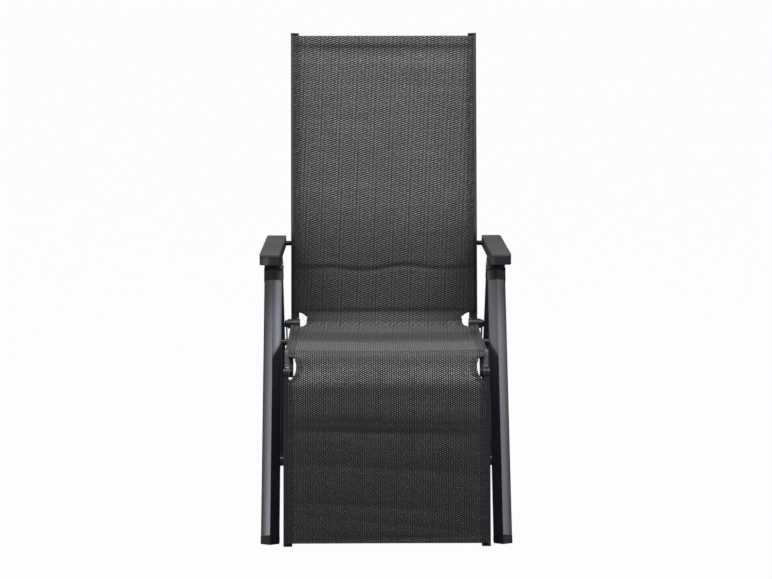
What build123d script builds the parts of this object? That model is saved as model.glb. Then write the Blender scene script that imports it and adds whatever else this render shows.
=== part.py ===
from build123d import *
from math import cos, radians, sin
import os

# A reclining garden armchair: an X-folding frame of coated aluminium tube with one long textile
# sling over a seat, a high backrest and a footrest. Millimetres, +X to the right as seen from the
# front, +Y to the back, +Z up. The floor is at Z zero and the middle of the depth at Y zero.

# Distance from the front feet back to the middle of the whole depth.
middle_y = 304.2

# Apex of the two leg pairs, below the armrests.
apex_behind, apex_z = 391.0, 600.0
apex_y = apex_behind - middle_y
front_lean, rear_lean = 30.77, 24.89

# Leg tube: place and width across the chair, depth at its sides and at its ridge, and wall.
leg_inner, leg_width = 256.0, 44.0
leg_outer = leg_inner + leg_width
leg_gap, leg_side_depth, leg_depth = 1.0, 21.0, 28.0
leg_top, front_cap_line, rear_cap_line = 30.0, 692.0, 654.0
leg_corner, ridge_round, tube_wall = 3.5, 1.5, 1.6
leg_end = 730.0

# Distances of the pivots and crossbars from the apex, along the legs.
seat_pivot_along, link_pivot_along = 205.0, 304.5
front_bar_along, rear_bar_along = 505.0, 610.0
leg_bar_radius = 13.0

# Hinge between the backrest and the seat.
hinge_behind, hinge_z = 488.0, 430.0
hinge_y = hinge_behind - middle_y
recline = 14.0
eye_radius, hinge_pin_radius = 13.0, 5.0

# Rail section, shared by the seat, the backrest and the footrest.
rail_width, rail_depth = 20.2, 20.0
lip_width, lip_height = 8.6, 2.3
rail_corner, lip_round = 3.0, 0.8
groove_radius, groove_in, groove_down, mouth_width = 2.5, 9.4, 4.0, 1.8
rod_radius = 2.25
rail_inner = 219.0
rail_outer = rail_inner + rail_width

# Backrest lengths from its hinge.
block_start, rail_start = 13.7, 30.0
back_length, cap_length = 751.3, 5.0
back_rail_end = back_length - cap_length
back_bar_below_top, back_bar_low = 37.3, 250.0
bar_radius, bar_down = 8.0, 12.0

# Seat: heights of the rail's upper face on its way forward, as distances behind the front feet
# and heights above the floor, and the two crossbars in the same way.
seat_heights = [
    (458.1, 431.4),
    (380.0, 433.6),
    (270.0, 439.5),
    (160.0, 448.6),
    (78.0, 457.6),
    (44.0, 464.6),
]
seat_line = [(y - middle_y, z) for y, z in seat_heights]
seat_slope = 4.5
seat_bars = {"seat_crossbar_rear": (360.0, 422.8), "seat_crossbar_front": (92.0, 443.4)}

# Footrest hinge and lengths.
foot_hinge_behind, foot_hinge_z = 19.0, 417.0
foot_hinge_y = foot_hinge_behind - middle_y
foot_lean = 14.9
foot_step = 3.0
foot_inner = rail_inner + foot_step
foot_outer = foot_inner + rail_width
foot_face = 6.0
foot_block_start, foot_rail_start, foot_length = 16.0, 32.0, 406.0
foot_rail_end = foot_length - cap_length
foot_bar_high, foot_bar_above_end = 165.0, 21.0
foot_eye_radius = 11.0

# Armrest and its pins.
arm_pin_along, arm_pin_behind, arm_pin_radius = 208.2, 10.0, 6.0
arm_slope, arm_toe_out = 1.6, 1.0
arm_overhang, arm_width = 3.7, 49.6
arm_inner = leg_inner - arm_overhang
arm_outer = arm_inner + arm_width
arm_front, arm_rear = 298.0, 17.0
arm_under, arm_joint_line, arm_top = 9.05, 11.6, 18.2
pad_gap, pad_inset = 1.0, 2.5
arm_corner, arm_edge = 6.5, 1.6
rest_pin_ahead, rest_pin_up, rest_pin_radius = 7.0, 20.2, 4.5
rest_pin_y, rest_pin_z = apex_y - rest_pin_ahead, apex_z + rest_pin_up
pin_engagement = 6.9
pin_start = rail_outer - pin_engagement

# Sling cloth plates, with the corners cut back round the hinge.
cloth_gap, cloth_thick, cloth_edge = 0.3, 2.0, 0.2
cut_depth, back_cut, seat_cut = 18.0, 27.0, 62.0
cut_inner = rail_inner - cut_depth
cloth_below_top, cloth_above_foot_end = 7.3, 7.2

# Running fits: radial between pins and bores, and sideways between plates.
bore_clearance, side_clearance = 0.05, 0.3

os.makedirs("parts", exist_ok=True)
sides = (("left", -1), ("right", 1))


def side_frame(y, z, angle):
    """A side-view plane with its own X along a member and its normal across the chair."""
    return Plane(origin=(0, y, z), x_dir=(0, cos(radians(angle)), sin(radians(angle))), z_dir=(1, 0, 0))


def across(frame, along):
    """The plane that cuts a member square, at a distance along it, with X kept as X."""
    return Plane(origin=frame.from_local_coords((along, 0, 0)), x_dir=(1, 0, 0), z_dir=frame.x_dir)


def round_bar(frame, along, offset, radius, x_from, x_to, mode=Mode.ADD):
    """A round bar across the chair, centred on one point of a side view."""
    with BuildSketch(frame.offset(x_from)) as circle:
        with Locations((along, offset)):
            Circle(radius)
    extrude(circle.sketch, amount=x_to - x_from, mode=mode)


def side_plate(frame, points, x_from, x_to, corner=0, mode=Mode.ADD):
    """A plate across the chair with a straight-sided outline in a side view."""
    with BuildSketch(frame.offset(x_from)) as outline:
        with BuildLine():
            Polyline(*points, close=True)
        make_face()
        if corner:
            fillet(outline.vertices(), radius=corner)
    extrude(outline.sketch, amount=x_to - x_from, mode=mode)


def leg_section(plane, x_mid, outward, grow=0):
    """Leg tube outline: flat towards the other leg and two facets on the outward side."""
    half = leg_width / 2
    near, side, ridge = (outward * d for d in (leg_gap, leg_gap + leg_side_depth, leg_gap + leg_depth))
    with BuildSketch(plane) as outline:
        with BuildLine():
            Polyline(
                (x_mid - half, near),
                (x_mid + half, near),
                (x_mid + half, side),
                (x_mid, ridge),
                (x_mid - half, side),
                close=True,
            )
        make_face()
        by_x = outline.vertices().sort_by(Axis.X)
        fillet(by_x[:2] + by_x[3:], radius=leg_corner)
        tip = outline.vertices().sort_by(Axis.Y)[-1 if outward > 0 else 0]
        fillet(tip, radius=ridge_round)
        if grow:
            offset(amount=grow)
    return outline.sketch


def tube(outline, plane, wall):
    """A closed outline made into the ring of a tube."""
    with BuildSketch(plane) as ring:
        add(plane.to_local_coords(outline))
        offset(amount=-wall, mode=Mode.SUBTRACT)
    return ring.sketch


def rail_section(plane, inner, side, grooved=True):
    """Rail outline with its outer lip, and with the cloth's groove and the hollow below it."""
    outer = inner + rail_width
    with BuildSketch(plane) as outline:
        with BuildLine():
            Polyline(
                (side * inner, 0),
                (side * (outer - lip_width), 0),
                (side * (outer - lip_width), lip_height),
                (side * outer, lip_height),
                (side * outer, -rail_depth),
                (side * inner, -rail_depth),
                close=True,
            )
        make_face()
        low = outline.vertices().group_by(Axis.Y)[0]
        high = outline.vertices().group_by(Axis.Y)[-1]
        fillet(low, radius=rail_corner)
        fillet(high, radius=lip_round)
        if grooved:
            with Locations((side * (outer - groove_in), -groove_down)):
                Circle(groove_radius, mode=Mode.SUBTRACT)
            with Locations((side * (outer - groove_in), -groove_down / 2)):
                Rectangle(mouth_width, groove_down, mode=Mode.SUBTRACT)
            hollow_top = groove_down + groove_radius + tube_wall
            with Locations((side * (inner + outer) / 2, -(hollow_top + rail_depth - tube_wall) / 2)):
                RectangleRounded(
                    rail_width - 2 * tube_wall,
                    rail_depth - tube_wall - hollow_top,
                    rail_corner / 2,
                    mode=Mode.SUBTRACT,
                )
    return outline.sketch


front_frame = side_frame(apex_y, apex_z, -90 - front_lean)
rear_frame = side_frame(apex_y, apex_z, -90 + rear_lean)
back_frame = side_frame(hinge_y, hinge_z, 90 - recline)
seat_frame = side_frame(hinge_y, hinge_z, 180 - seat_slope)
foot_frame = side_frame(foot_hinge_y, foot_hinge_z, -90 - foot_lean)
arm_pin = back_frame.from_local_coords((arm_pin_along, -arm_pin_behind, 0))
arm_frame = side_frame(arm_pin.Y, arm_pin.Z, 180 - arm_slope)
leg_middle = (leg_inner + leg_outer) / 2
leg_axis = leg_gap + leg_depth / 2

# Legs: faceted tubes. The front pair leans back to the apex and the rear pair leans forward.
for side, s in sides:
    with BuildPart() as front_leg:
        top_plane = across(front_frame, leg_top)
        section = leg_section(top_plane, s * leg_middle, 1)
        extrude(tube(section, top_plane, tube_wall), amount=front_cap_line - leg_top)
        pin_reach = leg_width * 0.8
        round_bar(
            front_frame,
            seat_pivot_along,
            -leg_axis,
            hinge_pin_radius + bore_clearance,
            s * leg_inner,
            s * (leg_inner + pin_reach),
            Mode.SUBTRACT,
        )
    front_leg.part.label = "front_leg_" + side
    export_step(front_leg.part, f"parts/front_leg_{side}.step")

    with BuildPart() as rear_leg:
        top_plane = across(rear_frame, leg_top)
        section = leg_section(top_plane, s * leg_middle, -1)
        extrude(tube(section, top_plane, tube_wall), amount=rear_cap_line - leg_top)
        round_bar(
            rear_frame,
            link_pivot_along,
            leg_axis,
            hinge_pin_radius + bore_clearance,
            s * leg_inner,
            s * (leg_inner + pin_reach),
            Mode.SUBTRACT,
        )
    rear_leg.part.label = "rear_leg_" + side
    export_step(rear_leg.part, f"parts/rear_leg_{side}.step")

    # Feet: plastic shoes on the leg ends, cut level with the floor.
    foot_grow = 0.5
    with BuildPart() as front_foot:
        section = leg_section(across(front_frame, front_cap_line), s * leg_middle, 1, foot_grow)
        extrude(section, amount=leg_end - front_cap_line)
        split(bisect_by=Plane.XY, keep=Keep.TOP)
    front_foot.part.label = "front_foot_" + side
    export_step(front_foot.part, f"parts/front_foot_{side}.step")

    with BuildPart() as rear_foot:
        section = leg_section(across(rear_frame, rear_cap_line), s * leg_middle, -1, foot_grow)
        extrude(section, amount=leg_end - rear_cap_line)
        split(bisect_by=Plane.XY, keep=Keep.TOP)
    rear_foot.part.label = "rear_foot_" + side
    export_step(rear_foot.part, f"parts/rear_foot_{side}.step")

# Round crossbars welded between the leg pairs, near the floor.
bar_bore = leg_bar_radius - tube_wall
with BuildPart() as front_crossbar:
    round_bar(front_frame, front_bar_along, -leg_axis, leg_bar_radius, -leg_inner, leg_inner)
    round_bar(front_frame, front_bar_along, -leg_axis, bar_bore, -leg_inner, leg_inner, Mode.SUBTRACT)
front_crossbar.part.label = "front_crossbar"
export_step(front_crossbar.part, "parts/front_crossbar.step")

with BuildPart() as rear_crossbar:
    round_bar(rear_frame, rear_bar_along, leg_axis, leg_bar_radius, -leg_inner, leg_inner)
    round_bar(rear_frame, rear_bar_along, leg_axis, bar_bore, -leg_inner, leg_inner, Mode.SUBTRACT)
rear_crossbar.part.label = "rear_crossbar"
export_step(rear_crossbar.part, "parts/rear_crossbar.step")

# Apex joints: a moulded sleeve on each leg top. The front sleeve ends in an inner disc and the
# rear one in an outer disc, side by side on one pin.
sleeve_wall, sleeve_start, sleeve_end = 1.0, 19.0, 46.0
disc_radius, disc_ahead, apex_pin_radius = 15.0, 8.0, 4.0
joint_split = leg_middle
head_radius, head_thick = 7.0, 1.5
fairing_back, fairing_depth, fairing_rise, fairing_foot = 18.0, 11.5, 5.0, 2.0
for side, s in sides:
    with BuildPart() as front_joint:
        section = leg_section(across(front_frame, sleeve_start), s * leg_middle, 1, sleeve_wall)
        extrude(section, amount=sleeve_end - sleeve_start)
        socket = leg_section(across(front_frame, leg_top), s * leg_middle, 1, bore_clearance)
        extrude(socket, amount=sleeve_end - leg_top, mode=Mode.SUBTRACT)
        disc_to = joint_split - side_clearance
        round_bar(front_frame, 0, -disc_ahead, disc_radius, s * (leg_inner - sleeve_wall), s * disc_to)
        neck_front = leg_gap + leg_side_depth
        neck = [(0, -neck_front), (sleeve_start, -neck_front), (sleeve_start, -leg_gap), (0, -leg_gap)]
        side_plate(front_frame, neck, s * (leg_inner - sleeve_wall), s * disc_to)
        fairing_plane = Plane(
            origin=front_frame.from_local_coords((0, -fairing_back, 0)),
            x_dir=(1, 0, 0),
            z_dir=front_frame.y_dir * -1,
        )
        with BuildSketch(fairing_plane) as fairing:
            with BuildLine():
                Polyline(
                    (s * (leg_inner - sleeve_wall), -sleeve_start),
                    (s * (leg_outer + sleeve_wall), -sleeve_start),
                    (s * (leg_outer + sleeve_wall), fairing_foot - sleeve_start),
                    (s * disc_to, fairing_rise),
                    (s * (leg_inner - sleeve_wall), fairing_rise),
                    close=True,
                )
            make_face()
        extrude(amount=fairing_depth)
        bore_in, bore_radius = leg_inner - leg_width / 2, apex_pin_radius + bore_clearance
        round_bar(front_frame, 0, 0, bore_radius, s * bore_in, s * leg_outer, Mode.SUBTRACT)
        rest_place = front_frame.to_local_coords(Vector(0, rest_pin_y, rest_pin_z))
        round_bar(
            front_frame,
            rest_place.X,
            rest_place.Y,
            rest_pin_radius + bore_clearance,
            s * bore_in,
            s * leg_outer,
            Mode.SUBTRACT,
        )
    front_joint.part.label = "front_joint_" + side
    export_step(front_joint.part, f"parts/front_joint_{side}.step")

    with BuildPart() as rear_joint:
        section = leg_section(across(rear_frame, sleeve_start), s * leg_middle, -1, sleeve_wall)
        extrude(section, amount=sleeve_end - sleeve_start)
        socket = leg_section(across(rear_frame, leg_top), s * leg_middle, -1, bore_clearance)
        extrude(socket, amount=sleeve_end - leg_top, mode=Mode.SUBTRACT)
        disc_from, disc_far = joint_split + side_clearance, leg_outer - bore_clearance * 4
        round_bar(rear_frame, 0, 0, disc_radius, s * disc_from, s * disc_far)
        neck = [(0, leg_gap), (sleeve_start, leg_gap), (sleeve_start, leg_side_depth), (0, disc_radius)]
        side_plate(rear_frame, neck, s * disc_from, s * disc_far)
        round_bar(rear_frame, 0, 0, bore_radius, s * leg_inner, s * leg_outer, Mode.SUBTRACT)
    rear_joint.part.label = "rear_joint_" + side
    export_step(rear_joint.part, f"parts/rear_joint_{side}.step")

# Apex pins with a flat head at each end, and the pins that the armrests lie on.
with BuildPart() as apex_pins:
    for side, s in sides:
        inner_face, outer_face = leg_inner - sleeve_wall, leg_outer - bore_clearance * 4
        round_bar(front_frame, 0, 0, apex_pin_radius, s * inner_face, s * outer_face)
        round_bar(front_frame, 0, 0, head_radius, s * (inner_face - head_thick), s * inner_face)
        head_from, head_to = outer_face + bore_clearance, outer_face + head_thick
        round_bar(front_frame, 0, 0, head_radius, s * head_from, s * head_to)
        round_bar(front_frame, 0, 0, apex_pin_radius, s * outer_face, s * (outer_face + bore_clearance))
apex_pins.part.label = "apex_pins"
export_step(apex_pins.part, "parts/apex_pins.step")

with BuildPart() as rest_pins:
    for side, s in sides:
        rest_from, rest_to = leg_inner - sleeve_wall, joint_split - side_clearance
        round_bar(front_frame, rest_place.X, rest_place.Y, rest_pin_radius, s * rest_from, s * rest_to)
rest_pins.part.label = "rest_pins"
export_step(rest_pins.part, "parts/rest_pins.step")

# Pivot pins of the seat: a shank from the seat rail into the front leg with a spacer collar.
collar_radius = 8.0
with BuildPart() as seat_pivot_pins:
    for side, s in sides:
        pin_to, collar_from = leg_inner + pin_reach - side_clearance, rail_outer + side_clearance
        round_bar(front_frame, seat_pivot_along, -leg_axis, hinge_pin_radius, s * pin_start, s * pin_to)
        round_bar(front_frame, seat_pivot_along, -leg_axis, collar_radius, s * collar_from, s * leg_inner)
seat_pivot_pins.part.label = "seat_pivot_pins"
export_step(seat_pivot_pins.part, "parts/seat_pivot_pins.step")

# Swing links: flat bars between the seat hinge and the rear legs, with a domed cover on top.
link_from_leg, link_thick, link_radius = 6.7, 3.0, 11.0
link_in = leg_inner - link_from_leg
link_out = link_in + link_thick
boss_radius, boss_high, cover_radius, cover_high = 9.0, 1.3, 9.0, 3.2
boss_in, cover_out = link_in - boss_high, link_out + cover_high
link_foot = rear_frame.from_local_coords((link_pivot_along, leg_axis, 0))
hinge_point = Vector(0, hinge_y, hinge_z)
link_line = hinge_point - link_foot
link_frame = Plane(origin=link_foot, x_dir=link_line, z_dir=(1, 0, 0))
link_length = link_line.length
for side, s in sides:
    with BuildPart() as swing_link:
        with BuildSketch(link_frame.offset(s * link_in)):
            with Locations((link_length / 2, 0)):
                SlotCenterToCenter(link_length, 2 * link_radius)
            Circle(hinge_pin_radius + bore_clearance, mode=Mode.SUBTRACT)
        extrude(amount=s * link_thick)
        round_bar(link_frame, link_length, 0, boss_radius, s * boss_in, s * link_in)
    swing_link.part.label = "swing_link_" + side
    export_step(swing_link.part, f"parts/swing_link_{side}.step")

with BuildPart() as link_covers:
    for side, s in sides:
        round_bar(link_frame, link_length, 0, cover_radius, s * link_out, s * cover_out)
    rims = link_covers.edges().filter_by(GeomType.CIRCLE).sort_by(Axis.X)
    fillet([rims[0], rims[-1]], radius=(cover_out - link_out) * 0.6)
link_covers.part.label = "link_covers"
export_step(link_covers.part, "parts/link_covers.step")

with BuildPart() as link_pins:
    for side, s in sides:
        collar_from, head_to = link_out + side_clearance, link_in - side_clearance
        round_bar(rear_frame, link_pivot_along, leg_axis, hinge_pin_radius, s * boss_in, s * pin_to)
        round_bar(rear_frame, link_pivot_along, leg_axis, collar_radius, s * collar_from, s * leg_inner)
        round_bar(rear_frame, link_pivot_along, leg_axis, collar_radius, s * boss_in, s * head_to)
link_pins.part.label = "link_pins"
export_step(link_pins.part, "parts/link_pins.step")

# Hinge pins of the backrest: a core through both knuckles and an outer barrel.
knuckle_proud, knuckle_share = 2.5, 0.36
knuckle_in, knuckle_split = rail_inner - knuckle_proud, rail_inner + knuckle_share * rail_width
barrel_out, barrel_radius = boss_in - side_clearance, 12.5
with BuildPart() as back_hinge_pins:
    for side, s in sides:
        round_bar(seat_frame, 0, 0, hinge_pin_radius, s * knuckle_in, s * (rail_outer + side_clearance))
        round_bar(seat_frame, 0, 0, barrel_radius, s * (rail_outer + side_clearance), s * barrel_out)
back_hinge_pins.part.label = "back_hinge_pins"
export_step(back_hinge_pins.part, "parts/back_hinge_pins.step")

# Seat rails: the grooved section swept along the seat's gentle curve.
seat_pivot = front_frame.from_local_coords((seat_pivot_along, -leg_axis, 0))
for side, s in sides:
    with BuildPart() as seat_rail:
        with BuildLine(Plane.YZ) as seat_curve:
            Spline(*seat_line)
        start = Plane(
            origin=seat_curve.line @ 0,
            x_dir=(1, 0, 0),
            z_dir=seat_curve.line % 0,
        )
        sweep(rail_section(start, rail_inner, s), path=seat_curve.wires()[0])
        round_bar(
            side_frame(seat_pivot.Y, seat_pivot.Z, 0),
            0,
            0,
            hinge_pin_radius + bore_clearance,
            s * (pin_start - side_clearance),
            s * (rail_outer + rail_width),
            Mode.SUBTRACT,
        )
    seat_rail.part.label = "seat_rail_" + side
    export_step(seat_rail.part, f"parts/seat_rail_{side}.step")

# Rods in the hems of the seat cloth, which hold it in the grooves.
with BuildPart() as seat_hem_rods:
    for side, s in sides:
        with BuildSketch(start) as rod_circle:
            with Locations((s * (rail_outer - groove_in), -groove_down)):
                Circle(rod_radius)
        sweep(rod_circle.sketch, path=seat_curve.wires()[0])
seat_hem_rods.part.label = "seat_hem_rods"
export_step(seat_hem_rods.part, "parts/seat_hem_rods.step")

# Seat crossbars between the rails, below the cloth.
for name, (bar_behind, bar_z) in seat_bars.items():
    with BuildPart() as seat_crossbar:
        bar_frame = side_frame(bar_behind - middle_y, bar_z, 0)
        round_bar(bar_frame, 0, 0, bar_radius, -rail_inner, rail_inner)
        round_bar(bar_frame, 0, 0, bar_radius - tube_wall, -rail_inner, rail_inner, Mode.SUBTRACT)
    seat_crossbar.part.label = name
    export_step(seat_crossbar.part, f"parts/{name}.step")

# Rear knuckles of the seat: the inner eye of the back hinge and the block in the rail end.
seat_rear = Plane(origin=start.origin, x_dir=start.z_dir, z_dir=(1, 0, 0))
seat_hinge = seat_rear.to_local_coords(hinge_point)
with BuildPart() as seat_hinge_knuckles:
    for side, s in sides:
        eye_to = knuckle_split - side_clearance / 2
        round_bar(seat_frame, 0, 0, eye_radius, s * knuckle_in, s * eye_to)
        block_rear = block_start - rail_start
        web = [
            (seat_hinge.X, seat_hinge.Y),
            (block_rear, 0),
            (block_rear, rail_depth),
            (seat_hinge.X, eye_radius),
        ]
        side_plate(seat_rear, web, s * rail_inner, s * eye_to)
        block = [(block_rear, 0), (0, 0), (0, rail_depth), (block_rear, rail_depth)]
        side_plate(seat_rear, block, s * rail_inner, s * rail_outer)
        bore = hinge_pin_radius + bore_clearance
        round_bar(seat_frame, 0, 0, bore, s * knuckle_in, s * rail_outer, Mode.SUBTRACT)
seat_hinge_knuckles.part.label = "seat_hinge_knuckles"
export_step(seat_hinge_knuckles.part, "parts/seat_hinge_knuckles.step")

# Front brackets of the seat: elbows that end in the inner eye of the footrest hinge.
foot_split_share = 0.4
foot_split = foot_inner + foot_split_share * rail_width
elbow = [
    (0.0, 0.0),
    (5.0, 0.6),
    (9.5, 5.0),
    (12.0, 12.0),
    (14.0, 25.0),
    (14.6, 34.9),
    (-2.5, 31.3),
    (0.0, 20.0),
]
elbow_lip = [(0.0, -2.3), (5.0, -1.7), (9.5, 5.0), (0.0, 5.0)]
eye_neck = [(-2.1, -7.8), (-20.2, -1.8), (-24.2, 13.2), (-0.6, 10.2)]
eye_guard = [(-12.2, -4.4), *eye_neck[1:3], (-12.2, 11.6)]
seat_end = Plane(origin=seat_curve.line @ 1, x_dir=seat_curve.line % 1, z_dir=(1, 0, 0))
with BuildPart() as seat_front_brackets:
    for side, s in sides:
        side_plate(seat_end, elbow, s * rail_inner, s * rail_outer)
        side_plate(seat_end, elbow_lip, s * (rail_outer - lip_width), s * rail_outer)
        side_plate(foot_frame, eye_neck, s * rail_inner, s * (foot_split - side_clearance))
        side_plate(foot_frame, eye_guard, s * rail_inner, s * rail_outer)
        round_bar(foot_frame, 0, 0, foot_eye_radius, s * rail_inner, s * (foot_split - side_clearance))
        bore = hinge_pin_radius + bore_clearance
        round_bar(foot_frame, 0, 0, bore, s * rail_inner, s * foot_outer, Mode.SUBTRACT)
seat_front_brackets.part.label = "seat_front_brackets"
export_step(seat_front_brackets.part, "parts/seat_front_brackets.step")

# Cloth of the seat, a thin plate that follows the rails.
cloth_half = rail_outer - lip_width - cloth_edge
with BuildPart() as sling_seat:
    with BuildSketch(Plane.YZ.offset(-cloth_half)):
        with BuildLine():
            rear_y, rear_z = hinge_y - block_start, hinge_z + 1.4
            under = [(rear_y, rear_z + cloth_gap), *((y, z + cloth_gap) for y, z in seat_line[1:])]
            over = [(y, z + cloth_thick) for y, z in under]
            Spline(*under)
            Spline(*over)
            Line(under[0], over[0])
            Line(under[-1], over[-1])
        make_face()
    extrude(amount=2 * cloth_half)
    with BuildSketch(Plane.XY.offset(hinge_z - rail_depth)):
        for side, s in sides:
            with Locations((s * (cut_inner + rail_width), hinge_y - seat_cut / 2)):
                Rectangle(2 * rail_width, seat_cut)
    extrude(amount=2 * rail_depth, mode=Mode.SUBTRACT)
sling_seat.part.label = "sling_seat"
export_step(sling_seat.part, "parts/sling_seat.step")

# Backrest rails, from the knuckles to just below the top.
for side, s in sides:
    with BuildPart() as back_rail:
        top_plane = Plane(
            origin=back_frame.from_local_coords((back_rail_end, 0, 0)),
            x_dir=(1, 0, 0),
            z_dir=back_frame.x_dir * -1,
        )
        extrude(rail_section(top_plane, rail_inner, s), amount=back_rail_end - rail_start)
        round_bar(
            back_frame,
            arm_pin_along,
            -arm_pin_behind,
            arm_pin_radius + bore_clearance,
            s * (pin_start - side_clearance),
            s * (rail_outer + rail_width),
            Mode.SUBTRACT,
        )
    back_rail.part.label = "back_rail_" + side
    export_step(back_rail.part, f"parts/back_rail_{side}.step")

with BuildPart() as back_rail_caps:
    for side, s in sides:
        cap_section = rail_section(top_plane, rail_inner, s, grooved=False)
        extrude(cap_section, amount=back_rail_end - back_length)
    tops = back_rail_caps.faces().sort_by(Axis.Z)[-2:]
    fillet(tops.edges(), radius=lip_round)
back_rail_caps.part.label = "back_rail_caps"
export_step(back_rail_caps.part, "parts/back_rail_caps.step")

with BuildPart() as back_hem_rods:
    for side, s in sides:
        with BuildSketch(top_plane) as rod_ends:
            with Locations((s * (rail_outer - groove_in), -groove_down)):
                Circle(rod_radius)
        extrude(rod_ends.sketch, amount=back_rail_end - rail_start)
back_hem_rods.part.label = "back_hem_rods"
export_step(back_hem_rods.part, "parts/back_hem_rods.step")

back_bars = {"back_crossbar_top": back_length - back_bar_below_top, "back_crossbar_low": back_bar_low}
for name, along in back_bars.items():
    with BuildPart() as back_crossbar:
        round_bar(back_frame, along, -bar_down, bar_radius, -rail_inner, rail_inner)
        bore = bar_radius - tube_wall
        round_bar(back_frame, along, -bar_down, bore, -rail_inner, rail_inner, Mode.SUBTRACT)
    back_crossbar.part.label = name
    export_step(back_crossbar.part, f"parts/{name}.step")

# Lower knuckles of the backrest: the outer eye of the hinge and the block in the rail end.
with BuildPart() as back_hinge_knuckles:
    for side, s in sides:
        eye_from = knuckle_split + side_clearance / 2
        round_bar(back_frame, 0, 0, eye_radius, s * eye_from, s * rail_outer)
        web = [(0, 0), (block_start, 0), (block_start, -rail_depth), (0, -eye_radius)]
        side_plate(back_frame, web, s * eye_from, s * rail_outer)
        block = [(block_start, 0), (rail_start, 0), (rail_start, -rail_depth), (block_start, -rail_depth)]
        side_plate(back_frame, block, s * rail_inner, s * rail_outer)
        bore = hinge_pin_radius + bore_clearance
        round_bar(back_frame, 0, 0, bore, s * knuckle_in, s * rail_outer, Mode.SUBTRACT)
back_hinge_knuckles.part.label = "back_hinge_knuckles"
export_step(back_hinge_knuckles.part, "parts/back_hinge_knuckles.step")

# Cloth of the backrest.
cloth_top = back_length - cloth_below_top
with BuildPart() as sling_back:
    plate = [
        (block_start, cloth_gap),
        (cloth_top, cloth_gap),
        (cloth_top, cloth_gap + cloth_thick),
        (block_start, cloth_gap + cloth_thick),
    ]
    side_plate(back_frame, plate, -cloth_half, cloth_half)
    corner_cut = [(0, 0), (back_cut, 0), (back_cut, rail_depth), (0, rail_depth)]
    for side, s in sides:
        side_plate(back_frame, corner_cut, s * cut_inner, s * rail_outer, mode=Mode.SUBTRACT)
sling_back.part.label = "sling_back"
export_step(sling_back.part, "parts/sling_back.step")

# Armrests: a moulded base with a soft-touch pad on top and a toothed strip below.
arm_half = (arm_outer - arm_inner) / 2
arm_middle = (arm_inner + arm_outer) / 2
arm_length = arm_front + arm_rear
arm_up = Plane(origin=arm_frame.origin, x_dir=(1, 0, 0), z_dir=arm_frame.y_dir * -1)
rest_along = arm_frame.to_local_coords(Vector(0, rest_pin_y, rest_pin_z)).X
channel_inset, channel_width, channel_depth = 8.7, 14.0, 5.5
channel_behind, channel_ahead = 33.0, 122.0
channel_from, channel_to = rest_along - channel_behind, rest_along + channel_ahead
tooth_pitch, tooth_radius, tooth_count = 15.0, 5.0, 7
for side, s in sides:
    toe_shift = sin(radians(arm_toe_out)) * (arm_front - arm_rear) / 2
    arm_place = Location((s * (arm_middle + toe_shift), (arm_rear - arm_front) / 2), s * arm_toe_out)
    with BuildPart() as armrest_base:
        with BuildSketch(arm_up.offset(-arm_under)):
            with Locations(arm_place):
                RectangleRounded(2 * arm_half, arm_length, arm_corner)
        extrude(amount=arm_under + arm_joint_line)
        rims = armrest_base.faces().filter_by(arm_up).sort_by(Axis.Z)
        fillet(rims[0].edges(), radius=arm_edge)
        fillet(rims[-1].edges(), radius=arm_edge / 2)
        channel = [
            (channel_from, arm_under - channel_depth),
            (channel_to, arm_under - channel_depth),
            (channel_to, arm_under + arm_edge),
            (channel_from, arm_under + arm_edge),
        ]
        channel_in = arm_inner + channel_inset
        side_plate(arm_frame, channel, s * channel_in, s * (channel_in + channel_width), mode=Mode.SUBTRACT)
        bore_to, bore = arm_middle + arm_pin_radius, arm_pin_radius + bore_clearance
        round_bar(arm_frame, 0, 0, bore, s * rail_outer, s * bore_to, Mode.SUBTRACT)
    armrest_base.part.label = "armrest_base_" + side
    export_step(armrest_base.part, f"parts/armrest_base_{side}.step")

    with BuildPart() as armrest_pad:
        with BuildSketch(arm_up.offset(arm_joint_line)):
            with Locations(arm_place):
                RectangleRounded(
                    2 * (arm_half - pad_inset), arm_length - 2 * pad_inset, arm_corner - pad_inset
                )
        extrude(amount=pad_gap)
        with BuildSketch(arm_up.offset(arm_joint_line + pad_gap)):
            with Locations(arm_place):
                RectangleRounded(2 * arm_half, arm_length, arm_corner)
        extrude(amount=arm_top - arm_joint_line - pad_gap)
        top_face = armrest_pad.faces().filter_by(arm_up).sort_by(Axis.Z)[-1]
        fillet(top_face.edges(), radius=arm_edge)
    armrest_pad.part.label = "armrest_pad_" + side
    export_step(armrest_pad.part, f"parts/armrest_pad_{side}.step")

with BuildPart() as armrest_racks:
    for side, s in sides:
        with BuildSketch(arm_frame.offset(s * (channel_in + bore_clearance))) as rack:
            with Locations(((channel_from + channel_to) / 2, arm_under - channel_depth / 2)):
                Rectangle(channel_to - channel_from - 4 * bore_clearance, channel_depth)
            for tooth in range(tooth_count):
                with Locations((rest_along + tooth * tooth_pitch, arm_under + tooth_radius / 2)):
                    Circle(tooth_radius, mode=Mode.SUBTRACT)
        extrude(rack.sketch, amount=s * (channel_width - 2 * bore_clearance))
armrest_racks.part.label = "armrest_racks"
export_step(armrest_racks.part, "parts/armrest_racks.step")

# Pins between the backrest rails and the armrests.
with BuildPart() as arm_pins:
    for side, s in sides:
        round_bar(arm_frame, 0, 0, arm_pin_radius, s * pin_start, s * (bore_to - side_clearance))
arm_pins.part.label = "arm_pins"
export_step(arm_pins.part, "parts/arm_pins.step")

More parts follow.
